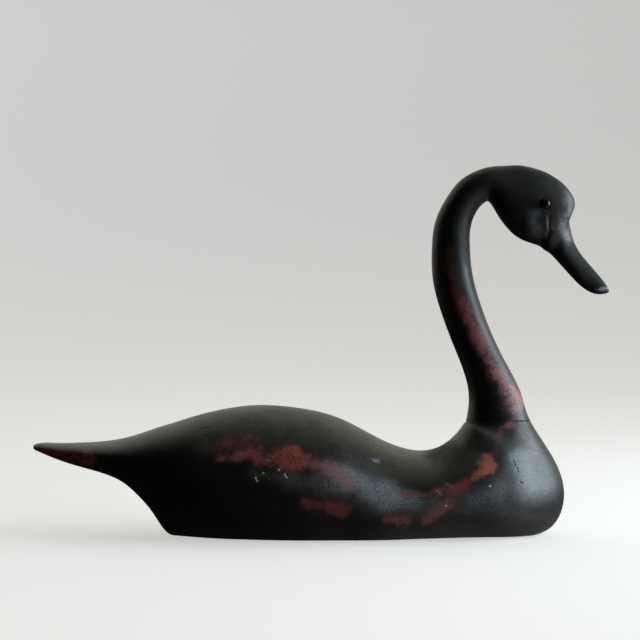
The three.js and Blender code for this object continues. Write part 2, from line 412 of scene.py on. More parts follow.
# Small damage, read from the photo in pixels: pale chips, pits and a short split; the pits and the split
# are coloured darker as painted shade
marks = {
    "chips": {
        "at": [
            (256.0, 477.8), (256.6, 479.4), (257.3, 481), (263.5, 473), (279, 469.7),
            (285.6, 474.6), (286.2, 475.8), (286.9, 477), (490.3, 486), (446.6, 505.6),
        ],
        "radius": 0.0017,
        "deep": 0.00035,
        "layer": "chip",
        "side": "right",
    },
    "pits": {
        "at": [
            (513.5, 461.2), (514.8, 464.6), (517.3, 467.8), (518.1, 471), (520.4, 482.3),
            (522, 482.7), (455, 441),
        ],
        "radius": 0.0014,
        "deep": 0.0008,
        "layer": "pitShade",
        "side": "right",
    },
    "split": {
        "at": [(201, 428.6), (203, 428.4), (205, 428.2), (207, 428), (209, 428)],
        "radius": 0.0012,
        "deep": 0.0007,
        "layer": "pitShade",
        "side": "right",
    },
    "farChips": {
        "at": [(310, 470), (232, 468), (402, 488), (505, 470), (360, 452)],
        "radius": 0.0014,
        "deep": 0.00035,
        "layer": "chip",
        "side": "left",
    },
    "farPits": {
        "at": [(520, 474), (470, 470), (150, 452), (330, 500)],
        "radius": 0.0014,
        "deep": 0.0008,
        "layer": "pitShade",
        "side": "left",
    },
}
markEdge = {
    "room": 0.0018,  # how far past a mark the mesh is made finer
    "cuts": 3,
    "reach": 1.6,  # how far out the edge may stray, in radii
    "runOut": (0.45, 1.15),  # the mark gets shallower between these distances, in radii
    "jagged": 0.35,  # how far the edge strays, in radii
    "jagScale": 900,
}


def markSpots(bm):
    tree = BVHTree.FromBMesh(bm)
    spots = []
    for kind in marks.values():
        reach = kind["radius"] + markEdge["room"]
        for pixel in kind["at"]:
            place, normal, _, _ = tree.ray_cast(*rayThrough(pixel, kind["side"]))
            if place is not None:
                spots.append({**kind, "at": place, "normal": normal, "reach": reach})
    return spots


def refineNear(bm, spots, cuts):
    # the faces near each spot are divided, so that a small form has room in the mesh
    faces = [f for f in bm.faces if len(f.verts) == 4]
    tree = KDTree(len(faces))
    for i, one in enumerate(faces):
        tree.insert(one.calc_center_median(), i)
    tree.balance()
    edges = {}
    for spot in spots:
        for _, i, _ in tree.find_range(spot["at"], spot["reach"]):
            for edge in faces[i].edges:
                edges[edge.index] = edge
    if edges:
        bmesh.ops.subdivide_edges(bm, edges=list(edges.values()), cuts=cuts, use_grid_fill=True)


def pressMarks(bm):
    layers = {name: bm.verts.layers.float.new(name) for name in ("chip", "pitShade")}
    spots = markSpots(bm)
    bm.edges.index_update()
    refineNear(bm, spots, markEdge["cuts"])
    tree = KDTree(len(bm.verts))
    for i, vert in enumerate(bm.verts):
        tree.insert(vert.co, i)
    tree.balance()
    bm.verts.ensure_lookup_table()
    for spot in spots:
        layer = layers[spot["layer"]]
        for place, i, away in tree.find_range(spot["at"], markEdge["reach"] * spot["radius"]):
            uneven = markEdge["jagged"] * noise.noise(place * markEdge["jagScale"])
            share = float(1 - smoothStep(*markEdge["runOut"], away / spot["radius"] + uneven))
            bm.verts[i].co -= spot["normal"] * spot["deep"] * share
            bm.verts[i][layer] = max(bm.verts[i][layer], share)
    return len(spots)


# Where the paint is rubbed, and where highlights and light from below are painted on it, as strokes over
# the photo in pixels. Each has its points, its half width, how much red shows, how far that runs to orange
# (warm) or to a chalky pink (pale), and how much the black itself is greyed (grey), browned (dusty) or
# dulled (matt). The grey is chalky rubbing in places and a painted highlight in others.
rubbedAndLit = {
    "right": [
        {"at": [(228, 444), (290, 454), (332, 472)], "wide": 17, "much": 0.3, "warm": 0.05},
        {"at": [(306, 504), (346, 514)], "wide": 14, "much": 0.3, "warm": 0.05},
        {"at": [(392, 516), (440, 512), (462, 490)], "wide": 13, "much": 0.3, "warm": 0.05},
        {"at": [(198, 449), (222, 449)], "wide": 10, "much": 0.3, "warm": 0.3, "dusty": 0.4},
        {"at": [(232, 440), (246, 440), (258, 446)], "wide": 11, "much": 0.4, "warm": 0.05},
        {"at": [(219, 460), (238, 457)], "wide": 5, "much": 0.6, "warm": 0.1, "pale": 0.2},
        {"at": [(238, 457), (254, 455)], "wide": 5.5, "much": 0.7, "warm": 0.1, "pale": 0.35},
        {"at": [(254, 458), (274, 461)], "wide": 7.5, "much": 0.9, "warm": 0.25},
        {"at": [(282, 455), (293, 455)], "wide": 8, "much": 1, "warm": 0.5, "pale": 0.05},
        {"at": [(286, 463), (297, 461)], "wide": 8.5, "much": 1.2, "warm": 0.45},
        {"at": [(292, 452), (304, 458)], "wide": 5, "much": 1, "warm": 0.85},
        {"at": [(268, 456.5), (274, 456)], "wide": 2.2, "much": 0.7, "warm": 0.8, "pale": 0.5},
        {"at": [(303, 460), (307, 461)], "wide": 2.8, "much": 0.6, "warm": 0.9, "pale": 0.35},
        {"at": [(310, 461), (324, 467)], "wide": 6, "much": 0.7, "warm": 0.05, "pale": 0.2},
        {"at": [(327, 466), (338, 474), (347, 485)], "wide": 9.5, "much": 0.9, "pale": 0.85, "grey": 0.3},
        {"at": [(307, 502), (320, 504)], "wide": 6.5, "much": 0.8, "warm": 0.05},
        {"at": [(330, 507), (344, 509)], "wide": 7, "much": 1, "warm": 0.15},
        {"at": [(338, 512), (345, 517)], "wide": 5, "much": 0.9, "warm": 0.1},
        {"at": [(385, 520), (406, 520)], "wide": 5.5, "much": 0.85, "warm": 0.05, "pale": 0.15},
        {"at": [(402, 495), (424, 494)], "wide": 6, "much": 0.7, "warm": 0.1, "pale": 0.1},
        {"at": [(449, 501), (440, 510)], "wide": 5.5, "much": 1.0, "warm": 0.2, "pale": 0.35},
        {"at": [(440, 510), (428, 521)], "wide": 6, "much": 1.1, "warm": 0.05, "pale": 0.4},
        {"at": [(456, 511), (466, 512)], "wide": 5, "much": 0.55, "warm": 0.05, "pale": 0.1},
        {"at": [(436, 492), (446, 488), (458, 490)], "wide": 8, "much": 0.5, "warm": 0.6, "dusty": 0.9},
        {"at": [(438.6, 490), (439.8, 496)], "wide": 1.6, "much": 0.7, "warm": 0.9, "pale": 0.9},
        {"at": [(447, 482), (450, 483.5), (454, 487)], "wide": 1.5, "much": 0.6, "warm": 0.9, "pale": 0.8},
        {"at": [(458, 486), (470, 481), (480, 476)], "wide": 5.5, "much": 0.65, "warm": 0.15},
        {"at": [(476, 476), (486, 470)], "wide": 4, "much": 1, "warm": 0.8},
        {"at": [(484, 459), (488, 465), (488, 470)], "wide": 7, "much": 1.2, "warm": 1},
        {"at": [(494, 456), (498, 438)], "wide": 5, "much": 0.3, "warm": 0.05},
        {"at": [(502, 430), (510, 426)], "wide": 7, "much": 0.7, "warm": 0.05, "pale": 0.3},
        {"at": [(523, 434), (534, 450)], "wide": 7, "much": 0.6, "pale": 0.7, "grey": 0.2},
        {"at": [(446, 250), (451, 276), (459, 300), (468, 320)], "wide": 10, "much": 0.5, "warm": 0.05},
        {"at": [(462, 306), (470, 324), (478, 340)], "wide": 8, "much": 0.6, "warm": 0.1, "pale": 0.1},
        {"at": [(478, 340), (487, 358), (497, 374)], "wide": 9, "much": 0.75, "warm": 0.15, "pale": 0.25},
        {"at": [(499, 374), (508, 390), (515, 406)], "wide": 12, "much": 0.75, "warm": 0.15, "pale": 0.5},
        {"at": [(515, 388), (522, 402)], "wide": 5, "much": 0.8, "warm": 0.6, "pale": 0.4},
        {"at": [(38, 451), (60, 455), (92, 461)], "wide": 6, "much": 0.85, "warm": 0.05},
        {"at": [(83, 452), (93, 455)], "wide": 3.5, "much": 0.6, "warm": 0.25, "pale": 0.35},
        {"at": [(553, 219), (554, 229)], "wide": 3.5, "much": 0.6, "warm": 0.05, "pale": 0.2},
        {"at": [(583, 276), (590, 286)], "wide": 4.5, "much": 0.45, "warm": 0.05},
        {"at": [(375, 457), (379, 460)], "wide": 2.2, "grey": 0.8},
        {"at": [(530, 176), (545, 184), (556, 196)], "wide": 8, "dusty": 0.3},
    ],
    "left": [
        {"at": [(206, 452), (244, 456), (290, 464)], "wide": 12, "much": 0.55, "warm": 0.3, "pale": 0.1},
        {"at": [(268, 461), (284, 463)], "wide": 8, "much": 0.8, "warm": 0.65},
        {"at": [(344, 500), (368, 506), (392, 508)], "wide": 11, "much": 0.5, "warm": 0.1, "pale": 0.2},
        {"at": [(470, 474), (486, 466), (500, 452)], "wide": 9, "much": 0.7, "warm": 0.6, "pale": 0.1},
        {"at": [(454, 280), (466, 314), (482, 346)], "wide": 10, "much": 0.5, "warm": 0.1, "pale": 0.1},
        {"at": [(503, 382), (512, 398), (518, 412)], "wide": 9, "much": 0.8, "warm": 0.3, "pale": 0.6},
        {"at": [(38, 451), (60, 455), (92, 461)], "wide": 6, "much": 0.8, "warm": 0.05},
        {"at": [(586, 274), (592, 284)], "wide": 5, "much": 0.5, "warm": 0.15},
    ],
    "both": [
        # Painted highlights: the grey strokes from here to the lower breast stand for the window's
        # reflection along the shoulder band, over the flank and on the breast, and for light bouncing up
        # onto the lower breast, over paint that is also rubbed chalky there.
        {"at": [(344, 478), (366, 489), (390, 497)], "wide": 14, "grey": 1.0},
        {"at": [(390, 497), (412, 501)], "wide": 12, "grey": 0.6},
        {"at": [(412, 501), (436, 506)], "wide": 11, "grey": 0.4},
        {"at": [(318, 476), (340, 490)], "wide": 11, "grey": 0.3},
        {"at": [(340, 458), (376, 472)], "wide": 12, "grey": 0.14},
        {"at": [(352, 504), (380, 510), (420, 514)], "wide": 12, "grey": 0.16},
        {"at": [(256, 474), (288, 478)], "wide": 11, "dusty": 0.6, "grey": 0.14},
        {"at": [(292, 480), (334, 490)], "wide": 13, "dusty": 0.7, "grey": 0.28},
        {"at": [(396, 470), (440, 478)], "wide": 11, "dusty": 0.4},
        {"at": [(452, 494), (498, 502)], "wide": 15, "grey": 0.2},
        {"at": [(444, 508), (480, 506), (520, 512)], "wide": 15, "grey": 0.25},
        {"at": [(474, 498), (500, 492)], "wide": 12, "grey": 0.35},
        {"at": [(500, 484), (506, 466)], "wide": 10, "grey": 0.2},
        {"at": [(520, 458), (524, 470), (527, 486)], "wide": 12, "grey": 0.9},
        {"at": [(530, 500), (544, 490)], "wide": 15, "grey": 0.2},
        {"at": [(440, 528), (500, 528), (545, 516)], "wide": 10, "grey": 0.14, "dusty": 0.25},
        {"at": [(500, 395), (518, 416)], "wide": 12, "grey": 0.2},
        {"at": [(534, 216), (535, 232)], "wide": 9, "grey": 0.6},
        # painted reflection: the bill root is greyed under the knob, where it faces the window
        {"at": [(558, 224), (566, 232)], "wide": 7, "grey": 0.25},
        {"at": [(505, 205), (520, 232)], "wide": 8, "dusty": 0.25},
        # worn paint at the bill tip, greyed also as a painted glint
        {"at": [(599, 291), (607, 288)], "wide": 2.4, "grey": 0.9},
        {"at": [(562, 258), (580, 276), (592, 290)], "wide": 17, "matt": 1},
        {"at": [(576, 250), (588, 264), (606, 284)], "wide": 11, "matt": 1},
        {"at": [(432, 228), (436, 262)], "wide": 7, "matt": 0.3},
        {"at": [(462, 226), (465, 262)], "wide": 6, "matt": 0.5},
        {"at": [(438, 256), (442, 300)], "wide": 5, "dusty": 0.45},
        {"at": [(470, 182), (510, 172), (548, 186)], "wide": 20, "matt": 0.4},
        {"at": [(548, 186), (557, 206)], "wide": 12, "matt": 1},
        {"at": [(480, 220), (505, 214)], "wide": 18, "matt": 0.5},
        {"at": [(440, 450), (468, 464), (486, 440)], "wide": 18, "matt": 1},
    ],
    "blend": 0.012,  # the two sides meet over this far each way from the middle
    "stray": [(38, 3.6), (110, 2.6), (260, 1.4)],  # noise scale, and how many pixels it shifts a stroke
    "fall": 1.2,  # how fast a stroke thins past its half width
    "seed": 3,  # of the noise that shifts the strokes
    "farShare": 0.6,  # how much of the strokes of both sides shows on the left one
    "faint": 0.001,  # where less red than this shows, its hue no longer matters
}
hues = ("warm", "pale")
films = ("grey", "dusty", "matt")


def strokeShare(pixels, stroke):
    # 1 along the middle of the stroke, thinning like a cloud to its sides
    near = np.full(len(pixels), np.inf)
    for one, two in zip(stroke["at"], stroke["at"][1:]):
        one, way = np.array(one, float), np.subtract(two, one).astype(float)
        along = np.clip((pixels - one) @ way / (way @ way), 0, 1)
        near = np.minimum(near, np.hypot(*(pixels - one - along[:, None] * way).T))
    return np.exp(-rubbedAndLit["fall"] * (near / stroke["wide"]) ** 2)


def rubbedAndLitShares(points):
    # how much of each hue and film the strokes leave at each point
    pixels = seenFrom(points)
    noise.seed_set(rubbedAndLit["seed"])
    for scale, shift in rubbedAndLit["stray"]:
        wander = [noise.noise_vector(Vector(point) * scale)[:2] for point in points]
        pixels = pixels + shift * np.array(wander)
    right = smoothStep(-rubbedAndLit["blend"], rubbedAndLit["blend"], -points[:, 1])
    both = rubbedAndLit["farShare"] + (1 - rubbedAndLit["farShare"]) * right
    sums = {name: np.zeros(len(points)) for name in ("much", *hues, *films)}
    for side, share in (("right", right), ("left", 1 - right), ("both", both)):
        for stroke in rubbedAndLit[side]:
            cover = strokeShare(pixels, stroke) * share
            reach = cover * stroke.get("much", 0)
            for name in hues:
                sums[name] = sums[name] * (1 - reach) + reach * stroke.get(name, 0)
            sums["much"] = 1 - (1 - sums["much"]) * (1 - reach)
            for name in films:
                sums[name] = 1 - (1 - sums[name]) * (1 - cover * stroke.get(name, 0))
    for name in hues:
        sums[name] = sums[name] / np.maximum(sums["much"], rubbedAndLit["faint"])
    return sums


def addRubbingAndLight(mesh):
    points = np.zeros(len(mesh.vertices) * 3)
    mesh.vertices.foreach_get("co", points)
    for name, values in rubbedAndLitShares(points.reshape(-1, 3)).items():
        attribute = mesh.attributes.new(name, "FLOAT", "POINT")
        attribute.data.foreach_set("value", np.asarray(values, np.float32))


def feed(tree, value, socket):
    # a socket is linked to another one, or holds a plain value
    if isinstance(value, bpy.types.NodeSocket):
        tree.links.new(value, socket)
    else:
        socket.default_value = value


def addNode(tree, kind, inputs=None, **settings):
    node = tree.nodes.new(kind)
    for key, value in settings.items():
        setattr(node, key, value)
    for key, value in (inputs or {}).items():
        feed(tree, value, node.inputs[key])
    return node


mixSockets = {"share": 0, "one": 6, "two": 7, "result": 2}  # where a Mix node keeps its colours


def mixed(tree, share, one, two):
    # the colour between two colours
    node = addNode(tree, "ShaderNodeMix", {mixSockets["share"]: share}, data_type="RGBA")
    for key, colour in (("one", one), ("two", two)):
        given = (*colour, 1) if isinstance(colour, tuple) else colour
        feed(tree, given, node.inputs[mixSockets[key]])
    return node.outputs[mixSockets["result"]]


def reckon(tree, operation, *values, clamp=False):
    inputs = dict(enumerate(values))
    return addNode(tree, "ShaderNodeMath", inputs, operation=operation, use_clamp=clamp).outputs[0]


def swing(tree, value, middle, strength):
    # how far a value strays from its middle, made stronger or weaker
    return reckon(tree, "MULTIPLY", reckon(tree, "SUBTRACT", value, middle), strength)


def spread(tree, value, low, high, toLow=0.0, toHigh=1.0):
    # eases from toLow to toHigh while the value runs from low to high
    inputs = {"Value": value, "From Min": low, "From Max": high, "To Min": toLow, "To Max": toHigh}
    return addNode(tree, "ShaderNodeMapRange", inputs, interpolation_type="SMOOTHSTEP").outputs[0]


def noiseOver(tree, place, scale, detail, roughness):
    inputs = {"Vector": place, "Scale": scale, "Detail": detail, "Roughness": roughness}
    return addNode(tree, "ShaderNodeTexNoise", inputs).outputs[0]


noiseMiddle = 0.5  # what a noise gives on average


def attributeOf(tree, name):
    return addNode(tree, "ShaderNodeAttribute", attribute_name=name).outputs["Fac"]


def newGroup(name, inputs, outputs):
    # every socket holds a number, apart from the place
    tree = bpy.data.node_groups.new(name, "ShaderNodeTree")
    for direction, labels in (("INPUT", inputs), ("OUTPUT", outputs)):
        for label in labels:
            kind = "NodeSocketVector" if label == "Place" else "NodeSocketFloat"
            tree.interface.new_socket(label, in_out=direction, socket_type=kind)
    given = tree.nodes.new("NodeGroupInput").outputs
    return tree, [given[label] for label in inputs], tree.nodes.new("NodeGroupOutput").inputs


torn = {
    "clouds": (5, 0.6),  # a noise's detail and roughness
    "specks": (3, 0.65),
    "finer": 4.5,  # how much finer the specks are than the clouds
    "opens": (0.02, 1.0),  # the torn mask comes up between these
}


def raggedEdge():
    # turns a soft mask into one that is worn through unevenly, in clouds and in specks
    inputs = ("Place", "Mask", "Scale", "Tear")
    tree, (place, mask, scale, tear), result = newGroup("raggedEdge", inputs, ["Mask"])
    finer = reckon(tree, "MULTIPLY", scale, torn["finer"])
    clouds = noiseOver(tree, place, scale, *torn["clouds"])
    specks = noiseOver(tree, place, finer, *torn["specks"])
    uneven = swing(tree, reckon(tree, "ADD", clouds, specks), 2 * noiseMiddle, tear)
    edge = reckon(tree, "MULTIPLY_ADD", mask, uneven, mask)
    tree.links.new(spread(tree, edge, *torn["opens"]), result["Mask"])
    return tree


grained = {
    "stretch": (14, 60, 260),  # the lines run along the bird
    "lines": (5, 0.65),  # a noise's detail and roughness
    "speckle": (3, 0.7),
    "speckleScale": 620,
    "lineHeight": 0.6,
    "speckleHeight": 0.4,
}


def woodGrain():
    # fine lines along the bird, as brush and sandpaper leave them, and a speckle of pores
    inputs = ("Place", "Line Scale", "Speckle Scale")
    tree, given, result = newGroup("woodGrain", inputs, ["Lines", "Speckle", "Height"])
    place, lineScale, speckleScale = given
    stretched = addNode(tree, "ShaderNodeMapping", {"Vector": place, "Scale": grained["stretch"]})
    lines = noiseOver(tree, stretched.outputs[0], lineScale, *grained["lines"])
    size = reckon(tree, "MULTIPLY", speckleScale, grained["speckleScale"])
    speckle = noiseOver(tree, place, size, *grained["speckle"])
    height = reckon(tree, "MULTIPLY", speckle, grained["speckleHeight"])
    height = reckon(tree, "MULTIPLY_ADD", lines, grained["lineHeight"], height)
    for label, value in (("Lines", lines), ("Speckle", speckle), ("Height", height)):
        tree.links.new(value, result[label])
    return tree


def tearMask(tree, ragged, place, mask, tear):
    scale, depth = tear
    inputs = {"Place": place, "Mask": mask, "Scale": scale, "Tear": depth}
    return addNode(tree, "ShaderNodeGroup", inputs, node_tree=ragged).outputs["Mask"]


def grainOver(tree, grain, place, scales):
    inputs = {"Place": place, "Line Scale": scales[0], "Speckle Scale": scales[1]}
    return addNode(tree, "ShaderNodeGroup", inputs, node_tree=grain).outputs


def newMaterial(name):
    material = bpy.data.materials.new(name)
    material.use_nodes = True
    return material, material.node_tree, material.node_tree.nodes["Principled BSDF"]


def placeOver(tree):
    return addNode(tree, "ShaderNodeTexCoord").outputs["Object"]


def addBump(tree, surface, height, bump):
    node = addNode(tree, "ShaderNodeBump", {"Height": height, **bump})
    tree.links.new(node.outputs[0], surface.inputs["Normal"])


# Below, a noise has its scale, detail and roughness, and a tear has its scale and depth. A ramp has
# the two values that it reads between, and the two that it gives where they aren't 0 and 1.
paint = {
    "blackCool": (0.0078, 0.0086, 0.0082),
    "blackWarm": (0.0125, 0.0112, 0.0088),
    "speck": (0.0035, 0.0038, 0.0036),
    "dustAndSheen": (0.160, 0.142, 0.092),  # a dull film of dust on what faces up, lighter there as a painted sheen from above
    "grey": (0.320, 0.338, 0.352),  # rubbed chalky in places, and a painted highlight where the strokes stand for reflected light
    "brown": (0.088, 0.068, 0.050),  # and where it is only thin
    "redDeep": (0.27, 0.050, 0.052),
    "redWarm": (0.47, 0.108, 0.060),
    "redPale": (0.42, 0.250, 0.262),
    "chip": (0.78, 0.76, 0.70),
    # painted shade: the pits and the split are coloured darker than the black paint
    "pitShade": (0.002, 0.002, 0.002),
    "blotch": (13, 4, 0.6),
    "cloud": (48, 5, 0.6),
    "grain": (1.0, 1.0),  # the scale of the lines and of the speckle
    "tears": {"much": (70, 2.2), "grey": (45, 0.35), "dusty": (55, 1.6), "matt": (40, 0.6)},
    "blackRamp": (0.38, 0.62),
    "dustAndSheenFacing": (0.4, 1.0),
    "dustAndSheenCloud": (0.3, 0.7, 0.45, 1.0),
    "dustAndSheenHeight": (0.18, 0.32, 0.85, 0.25),  # the film thins out up the neck
    "greyStreaks": (0.3, 0.7, 0.85, 1.0),
    "blackSpecks": (0.58, 0.34, 0.0, 0.85),
    "redSpecks": (0.55, 0.3, 0.0, 0.5),
    "redShift": 0.7,  # how far the clouds carry the red to orange
    "redCurve": 1.8,  # above 1, the red sets in late at a worn edge
    "rough": (0.3, 0.7, 0.37, 0.47),
    "rubbedRough": 0.08,
    "mattRough": 0.4,
    "gritRough": 0.7,
    "wornDeep": 0.3,  # how much lower a worn place lies in the bump
    "bump": {"Strength": 0.65, "Distance": 0.0003},
}


def blackPaint(tree, place, blotch, cloud, fine, masks):
    # black with a film of dust and painted sheen on what faces up, brown places, chalky places that carry
    # painted highlights too, and dark specks
    normal = addNode(tree, "ShaderNodeNewGeometry").outputs["Normal"]
    facing = addNode(tree, "ShaderNodeSeparateXYZ", {0: normal}).outputs[2]
    height = addNode(tree, "ShaderNodeSeparateXYZ", {0: place}).outputs[2]
    # painted sheen: what faces up is lightened, as if lit from above, along with the dust
    film = spread(tree, facing, *paint["dustAndSheenFacing"])
    film = reckon(tree, "MULTIPLY", film, spread(tree, cloud, *paint["dustAndSheenCloud"]))
    film = reckon(tree, "MULTIPLY", film, spread(tree, height, *paint["dustAndSheenHeight"]))
    streaks = spread(tree, fine["Lines"], *paint["greyStreaks"])
    # the grey carries chalky rubbing and painted highlights, streaked along the bird
    chalkAndSheen = reckon(tree, "MULTIPLY", masks["grey"], streaks)
    black = spread(tree, blotch, *paint["blackRamp"])
    black = mixed(tree, black, paint["blackCool"], paint["blackWarm"])
    black = mixed(tree, film, black, paint["dustAndSheen"])
    black = mixed(tree, masks["dusty"], black, paint["brown"])
    black = mixed(tree, chalkAndSheen, black, paint["grey"])
    return mixed(tree, spread(tree, fine["Speckle"], *paint["blackSpecks"]), black, paint["speck"])


def redPaint(tree, cloud, fine):
    shift = swing(tree, cloud, noiseMiddle, paint["redShift"])
    warm = reckon(tree, "ADD", attributeOf(tree, "warm"), shift, clamp=True)
    red = mixed(tree, warm, paint["redDeep"], paint["redWarm"])
    red = mixed(tree, attributeOf(tree, "pale"), red, paint["redPale"])
    return mixed(tree, spread(tree, fine["Speckle"], *paint["redSpecks"]), red, paint["redDeep"])


def paintRoughness(tree, blotch, fine, masks):
    rubbedAny = reckon(tree, "MAXIMUM", masks["much"], masks["grey"])
    rough = spread(tree, blotch, *paint["rough"])
    rough = reckon(tree, "MULTIPLY_ADD", rubbedAny, paint["rubbedRough"], rough)
    rough = reckon(tree, "MULTIPLY_ADD", masks["matt"], paint["mattRough"], rough)
    grit = swing(tree, fine["Speckle"], noiseMiddle, paint["gritRough"])
    return reckon(tree, "ADD", rough, grit)


def rubbedAndLitPaint(ragged, grain):
    material, tree, surface = newMaterial("rubbedAndLitPaint")
    place = placeOver(tree)
    blotch = noiseOver(tree, place, *paint["blotch"])
    cloud = noiseOver(tree, place, *paint["cloud"])
    fine = grainOver(tree, grain, place, paint["grain"])
    masks = {}
    for name, tear in paint["tears"].items():
        masks[name] = tearMask(tree, ragged, place, attributeOf(tree, name), tear)
    black = blackPaint(tree, place, blotch, cloud, fine, masks)
    wear = reckon(tree, "POWER", masks["much"], paint["redCurve"])
    colour = mixed(tree, wear, black, redPaint(tree, cloud, fine))
    for name in ("chip", "pitShade"):
        colour = mixed(tree, attributeOf(tree, name), colour, paint[name])
    tree.links.new(colour, surface.inputs["Base Color"])
    tree.links.new(paintRoughness(tree, blotch, fine, masks), surface.inputs["Roughness"])
    sunk = reckon(tree, "MULTIPLY", masks["much"], paint["wornDeep"])
    addBump(tree, surface, reckon(tree, "SUBTRACT", fine["Height"], sunk), paint["bump"])
    return material


base = {
    "wood": (0.075, 0.052, 0.034),
    "stain": (0.016, 0.014, 0.012),
    "grain": (0.8, 0.7),
    "cloud": (14, 5, 0.6),
    "tear": (70, 0.8),
    "stainedLines": (0.35, 0.65, 0.0, 0.6),
    "rough": (0.2, 0.8, 0.64, 0.80),
    "bump": {"Strength": 0.5, "Distance": 0.0004},
}


def planedBase(ragged, grain):
    material, tree, surface = newMaterial("planedBase")
    place = placeOver(tree)
    fine = grainOver(tree, grain, place, base["grain"])
    cloud = noiseOver(tree, place, *base["cloud"])
    stained = tearMask(tree, ragged, place, cloud, base["tear"])
    lines = spread(tree, fine["Lines"], *base["stainedLines"])
    wood = mixed(tree, lines, base["wood"], base["stain"])
    tree.links.new(mixed(tree, stained, wood, base["stain"]), surface.inputs["Base Color"])
    tree.links.new(spread(tree, fine["Speckle"], *base["rough"]), surface.inputs["Roughness"])
    addBump(tree, surface, fine["Height"], base["bump"])
    return material


# The glass eyes sit in the head where the cheeks end, their axes square to the surface
eye = {
    "along": 0.77,  # from the cheeks' station to the next one
    "rise": 0.553,  # up the section
    "diameter": 0.013,
    "dome": 0.0036,
    "depth": 0.005,  # behind the dome
    "sink": 0.0008,
    "edge": 0.0006,  # the bevel at the back
    "turns": 48,
    "domeSteps": 10,
    "merge": 1e-6,
    "socket": {"deep": 0.0046, "wall": (0.0064, 0.0071), "lid": (0.0074, 0.0105), "lidDeep": 0.0002},
    "reach": 0.014,  # the head's mesh is made finer this far round an eye
    "cuts": 2,
    "pupil": (0.001, 0.001, 0.001),
    "pupilEdge": (0.6, 0.78),  # in shares of the eye's radius
    "irisDark": (0.006, 0.0035, 0.002),
    "irisBrown": (0.060, 0.022, 0.012),
    "fibre": (900, 3, 0.5),
    "irisRamp": (0.35, 0.65),
    "rough": (0.2, 0.8, 0.16, 0.24),
    "specular": 0.3,
}


def eyeGlass():
    material, tree, surface = newMaterial("eyeGlass")
    place = placeOver(tree)
    fibre = noiseOver(tree, place, *eye["fibre"])
    iris = mixed(tree, spread(tree, fibre, *eye["irisRamp"]), eye["irisDark"], eye["irisBrown"])
    rim = spread(tree, attributeOf(tree, "fromPupil"), *eye["pupilEdge"])
    tree.links.new(mixed(tree, rim, eye["pupil"], iris), surface.inputs["Base Color"])
    tree.links.new(spread(tree, fibre, *eye["rough"]), surface.inputs["Roughness"])
    surface.inputs["Specular IOR Level"].default_value = eye["specular"]
    return material


def eyeSpot(side):
    # the carved surface where an eye sits, and the way it faces
    place = travel[cheekStation] + eye["along"] * (travel[cheekStation + 1] - travel[cheekStation])
    turn = asin(2 * eye["rise"] - 1)
    step = 1e-5
    here, upward = ringPoints(place, np.array([turn, turn + step]))
    onward = ringPoints(place + step, np.array([turn]))[0]
    normal = np.cross(upward - here, onward - here)
    mirror = np.array([1, side, 1])
    return Vector(here * mirror), Vector(normal * mirror).normalized()


def pressSockets(bm):
    spots = []
    for side in (1, -1):
        place, normal = eyeSpot(side)
        spots.append({"at": place, "normal": normal, "reach": eye["reach"]})
    bm.edges.index_update()
    refineNear(bm, spots, eye["cuts"])
    socket = eye["socket"]
    for vert in bm.verts:
        for spot in spots:
            away = vert.co - spot["at"]
            if away.length > eye["reach"]:
                continue
            off = (away - spot["normal"] * away.dot(spot["normal"])).length
            deep = socket["deep"] * (1 - smoothStep(*socket["wall"], off))
            lid = socket["lidDeep"] * (1 - smoothStep(*socket["lid"], off))
            vert.co -= spot["normal"] * float(max(deep, lid))


def newObject(bm, name, materials):
    mesh = bpy.data.meshes.new(name)
    bm.to_mesh(mesh)
    bm.free()
    for material in materials:
        mesh.materials.append(material)
    made = bpy.data.objects.new(name, mesh)
    bpy.context.scene.collection.objects.link(made)
    return made


def finishPiece(bm, name, materials, nodes, flat=()):
    bmesh.ops.recalc_face_normals(bm, faces=bm.faces[:])
    for one in bm.faces:
        one.smooth = one not in flat
    piece = newObject(bm, name, materials)
    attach(piece, "root")
    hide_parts(*nodes)
    return piece


# Each end is closed in two steps, given as how far in and how far out
ends = {
    "tail": [(0.0004, 0.0009), (0.0009, 0.0004)],
    "bill": [(0.0003, 0.0008), (0.0007, 0.0003)],
    "joint": [(0.000028, 0.000042), (0.000042, 0.000028)],  # the worn arris on each side
}
joint = {
    "height": stations[jointStation][1],
    "rings": 24,  # how many of the loft's rings the level cut may pass through
}


def endLength(name):
    return sum(out for _, out in ends[name])


def jointHeight(way):
    # where the loft is cut level, above the joint or below it, so that the arris ends at the gap
    return joint["height"] + way * (bird["jointGap"] / 2 + endLength("joint"))


def makeBody(materials):
    bm, rings = loftBetween(0, jointStation)
    pressSurface(bm, handDepth)
    rim = cutLevel(bm, rings[-joint["rings"]:], jointHeight(-1), True)
    bmesh.ops.translate(bm, verts=rings[0], vec=(endLength("tail"), 0, 0))
    closeEnd(bm, rings[0], Vector((-1, 0, 0)), ends["tail"])
    top = closeEnd(bm, rim, Vector((0, 0, 1)), ends["joint"])
    planed = flattenBase(bm)
    count = pressMarks(bm)
    piece = finishPiece(bm, "carved_body", materials, ["body"], [top, *planed])
    addRubbingAndLight(piece.data)
    print("body carved,", len(piece.data.polygons), "faces,", count, "marks")


